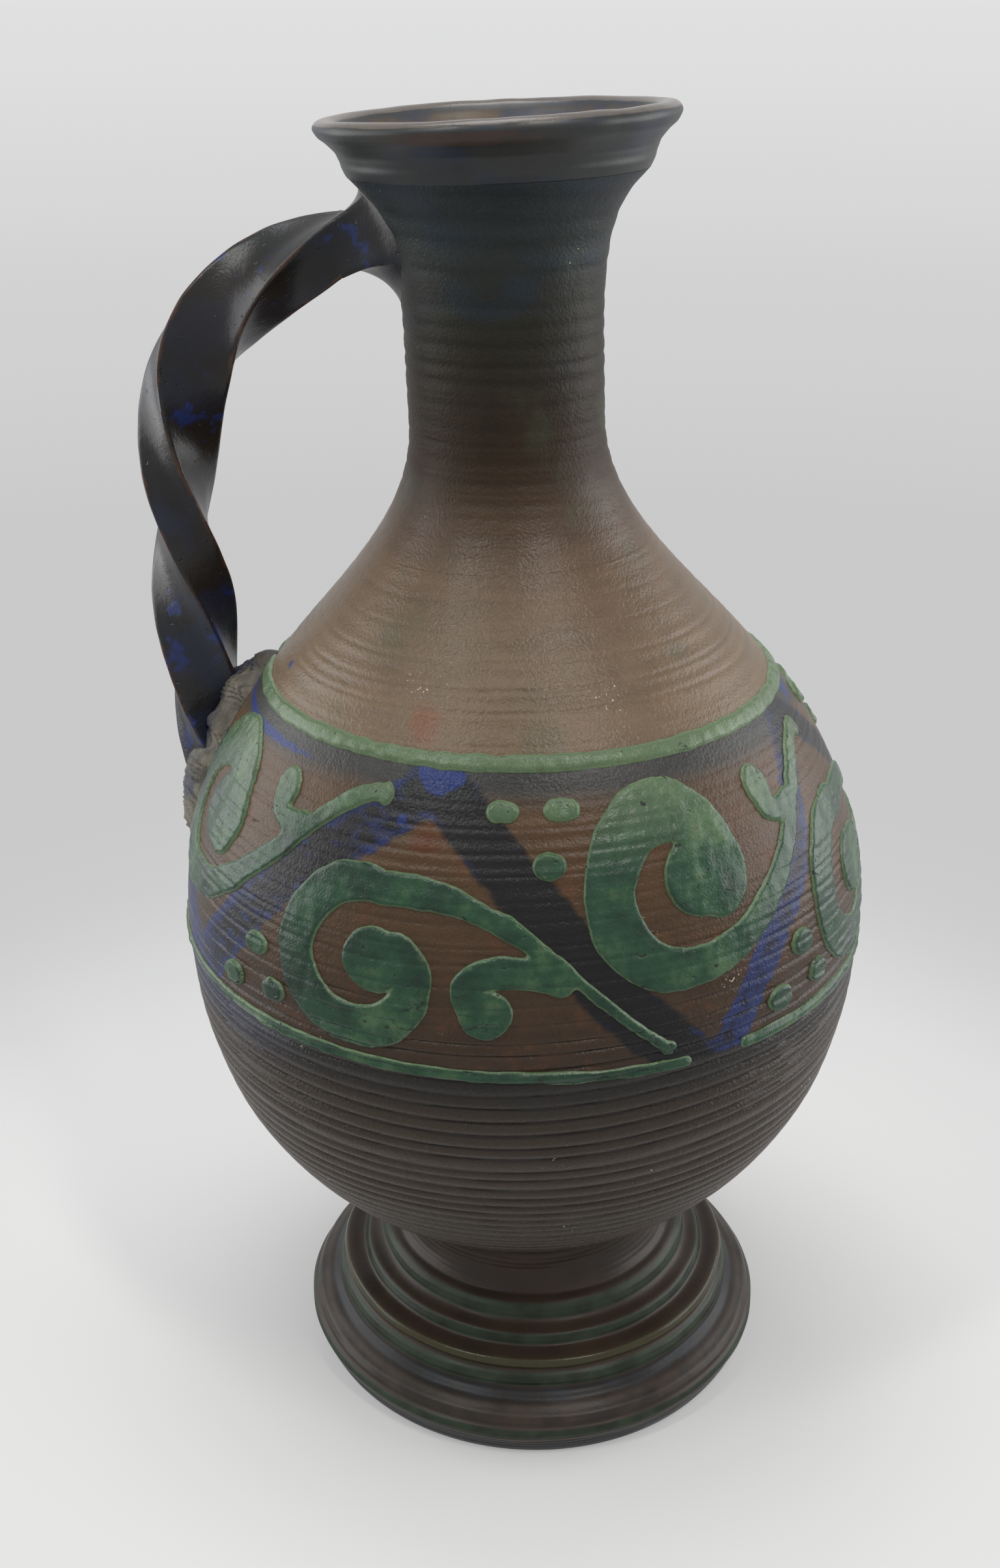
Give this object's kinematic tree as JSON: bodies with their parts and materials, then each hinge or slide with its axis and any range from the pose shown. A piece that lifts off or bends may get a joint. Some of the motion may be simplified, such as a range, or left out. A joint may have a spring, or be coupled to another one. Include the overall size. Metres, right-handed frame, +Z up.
{
  "type": "ceramic jug",
  "caption": "Thrown ceramic jug with a round belly on a ringed pedestal foot, a slim neck with a rolled lip, a twisted bar handle and trailed slip scrolls, for pouring drinks.",
  "frame": {"origin": "middle of the jug's box in plan, at the floor that the foot stands on", "axes": "+Z up, handle towards -X, the side seen in the picture towards -Y"},
  "size_m": [0.191, 0.1844, 0.3451],
  "materials": {
    "foot_glaze": "satin dark brown glaze, green on the ring mouldings and blue-black in the hollows",
    "bowl_glaze": "satin grey-brown glaze over close throwing rings",
    "shoulder_glaze": "satin brown glaze with blue and navy brushed wash",
    "neck_glaze": "satin charcoal to olive-brown glaze with fine throwing rings",
    "mouth_glaze": "glossier blue-black glaze, worn reddish under the lip",
    "handle_glaze": "satin navy-black glaze with brown arrises and blue patches",
    "pad_clay": "rough torn clay under a thin grey-brown glaze",
    "slip_green": "raised green slip, satin, mottled and finely pitted"
  },
  "bodies": {
    "root": {"pedestal_foot": "foot_glaze", "lower_bowl": "bowl_glaze", "shoulder": "shoulder_glaze", "neck": "neck_glaze", "mouth": "mouth_glaze", "handle": "handle_glaze", "upper_handle_weld": "handle_glaze", "lower_handle_pad": "pad_clay", "upper_slip_line": "slip_green", "lower_slip_line": "slip_green", "upper_scroll_1": "slip_green", "upper_scroll_2": "slip_green", "upper_scroll_3": "slip_green", "upper_scroll_4": "slip_green", "lower_scroll_1": "slip_green", "lower_scroll_2": "slip_green", "lower_scroll_3": "slip_green", "slip_dot_1": "slip_green", "slip_dot_2": "slip_green", "slip_dot_3": "slip_green", "slip_dot_4": "slip_green", "slip_dot_5": "slip_green", "slip_dot_6": "slip_green", "slip_dot_7": "slip_green", "slip_dot_8": "slip_green", "slip_dot_9": "slip_green", "slip_dot_10": "slip_green", "slip_dot_11": "slip_green", "slip_dot_12": "slip_green", "slip_dot_13": "slip_green", "slip_dot_14": "slip_green", "slip_dot_15": "slip_green", "slip_dot_16": "slip_green", "slip_dot_17": "slip_green", "slip_dot_18": "slip_green", "slip_dot_19": "slip_green", "slip_dot_20": "slip_green", "slip_dot_21": "slip_green"}
  },
  "joints": []
}
